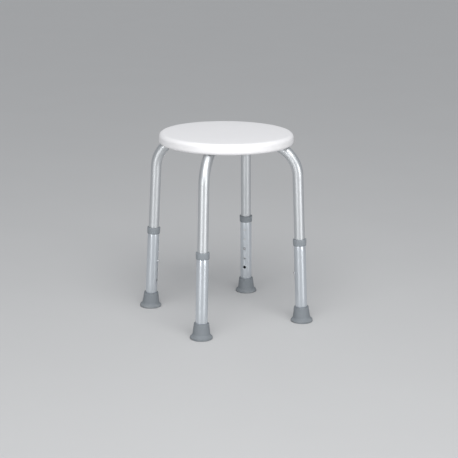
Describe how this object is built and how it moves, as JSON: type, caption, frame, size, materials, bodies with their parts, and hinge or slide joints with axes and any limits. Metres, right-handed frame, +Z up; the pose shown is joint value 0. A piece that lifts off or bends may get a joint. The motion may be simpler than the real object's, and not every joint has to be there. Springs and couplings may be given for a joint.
{
  "type": "shower stool",
  "caption": "Round white shower stool on four splayed aluminium tube legs with snap-button height adjustment and wide rubber feet.",
  "frame": {"origin": "on the floor under the centre of the seat, with the legs set at the length in the picture", "axes": "+Z up, towards the seat; the four legs stand on the diagonals between X and Y, and -Y is the front"},
  "size_m": [0.3294, 0.3294, 0.455],
  "materials": {
    "seat_plastic": "white moulded plastic with a fine grain on top",
    "tube_aluminium": "satin anodised tube",
    "collar_plastic": "grey moulded plastic",
    "plug_plastic": "grey moulded plastic",
    "foot_rubber": "grey rubber",
    "fastener_steel": "bright plated steel",
    "spring_steel": "plain steel strip",
    "insert_brass": "plain brass"
  },
  "bodies": {
    "seat_frame": {"seat": "seat_plastic", "upper_tube_front_left": "tube_aluminium", "end_plug_front_left": "plug_plastic", "spring_clip_front_left": "spring_steel", "seat_screw_front_left_1": "fastener_steel", "threaded_insert_front_left_1": "insert_brass", "seat_screw_front_left_2": "fastener_steel", "threaded_insert_front_left_2": "insert_brass", "upper_tube_front_right": "tube_aluminium", "end_plug_front_right": "plug_plastic", "spring_clip_front_right": "spring_steel", "seat_screw_front_right_1": "fastener_steel", "threaded_insert_front_right_1": "insert_brass", "seat_screw_front_right_2": "fastener_steel", "threaded_insert_front_right_2": "insert_brass", "upper_tube_rear_right": "tube_aluminium", "end_plug_rear_right": "plug_plastic", "spring_clip_rear_right": "spring_steel", "seat_screw_rear_right_1": "fastener_steel", "threaded_insert_rear_right_1": "insert_brass", "seat_screw_rear_right_2": "fastener_steel", "threaded_insert_rear_right_2": "insert_brass", "upper_tube_rear_left": "tube_aluminium", "end_plug_rear_left": "plug_plastic", "spring_clip_rear_left": "spring_steel", "seat_screw_rear_left_1": "fastener_steel", "threaded_insert_rear_left_1": "insert_brass", "seat_screw_rear_left_2": "fastener_steel", "threaded_insert_rear_left_2": "insert_brass"},
    "lower_leg_front_left": {"lower_tube_front_left": "tube_aluminium", "collar_front_left": "collar_plastic", "foot_front_left": "foot_rubber", "foot_washer_front_left": "spring_steel"},
    "button_front_left": {"snap_button_front_left": "fastener_steel"},
    "lower_leg_front_right": {"lower_tube_front_right": "tube_aluminium", "collar_front_right": "collar_plastic", "foot_front_right": "foot_rubber", "foot_washer_front_right": "spring_steel"},
    "button_front_right": {"snap_button_front_right": "fastener_steel"},
    "lower_leg_rear_right": {"lower_tube_rear_right": "tube_aluminium", "collar_rear_right": "collar_plastic", "foot_rear_right": "foot_rubber", "foot_washer_rear_right": "spring_steel"},
    "button_rear_right": {"snap_button_rear_right": "fastener_steel"},
    "lower_leg_rear_left": {"lower_tube_rear_left": "tube_aluminium", "collar_rear_left": "collar_plastic", "foot_rear_left": "foot_rubber", "foot_washer_rear_left": "spring_steel"},
    "button_rear_left": {"snap_button_rear_left": "fastener_steel"}
  },
  "joints": [
    {"name": "height_front_left", "type": "slide", "parent": "seat_frame", "child": "lower_leg_front_left", "axis": [-0.0333, -0.0333, -0.9989], "range_m": [-0.0508, 0.0508], "deforming": ["snap_button_front_left"]},
    {"name": "press_button_front_left", "type": "slide", "parent": "seat_frame", "child": "button_front_left", "axis": [0.7063, 0.7063, -0.0471], "range_m": [-0.0052, 0], "stiffness_N_per_m": 1500, "springref_m": 0.002, "deforming": ["spring_clip_front_left"]},
    {"name": "height_front_right", "type": "slide", "parent": "seat_frame", "child": "lower_leg_front_right", "axis": [0.0333, -0.0333, -0.9989], "range_m": [-0.0508, 0.0508], "deforming": ["snap_button_front_right"]},
    {"name": "press_button_front_right", "type": "slide", "parent": "seat_frame", "child": "button_front_right", "axis": [-0.7063, 0.7063, -0.0471], "range_m": [-0.0052, 0], "stiffness_N_per_m": 1500, "springref_m": 0.002, "deforming": ["spring_clip_front_right"]},
    {"name": "height_rear_right", "type": "slide", "parent": "seat_frame", "child": "lower_leg_rear_right", "axis": [0.0333, 0.0333, -0.9989], "range_m": [-0.0508, 0.0508], "deforming": ["snap_button_rear_right"]},
    {"name": "press_button_rear_right", "type": "slide", "parent": "seat_frame", "child": "button_rear_right", "axis": [-0.7063, -0.7063, -0.0471], "range_m": [-0.0052, 0], "stiffness_N_per_m": 1500, "springref_m": 0.002, "deforming": ["spring_clip_rear_right"]},
    {"name": "height_rear_left", "type": "slide", "parent": "seat_frame", "child": "lower_leg_rear_left", "axis": [-0.0333, 0.0333, -0.9989], "range_m": [-0.0508, 0.0508], "deforming": ["snap_button_rear_left"]},
    {"name": "press_button_rear_left", "type": "slide", "parent": "seat_frame", "child": "button_rear_left", "axis": [0.7063, -0.7063, -0.0471], "range_m": [-0.0052, 0], "stiffness_N_per_m": 1500, "springref_m": 0.002, "deforming": ["spring_clip_rear_left"]}
  ]
}
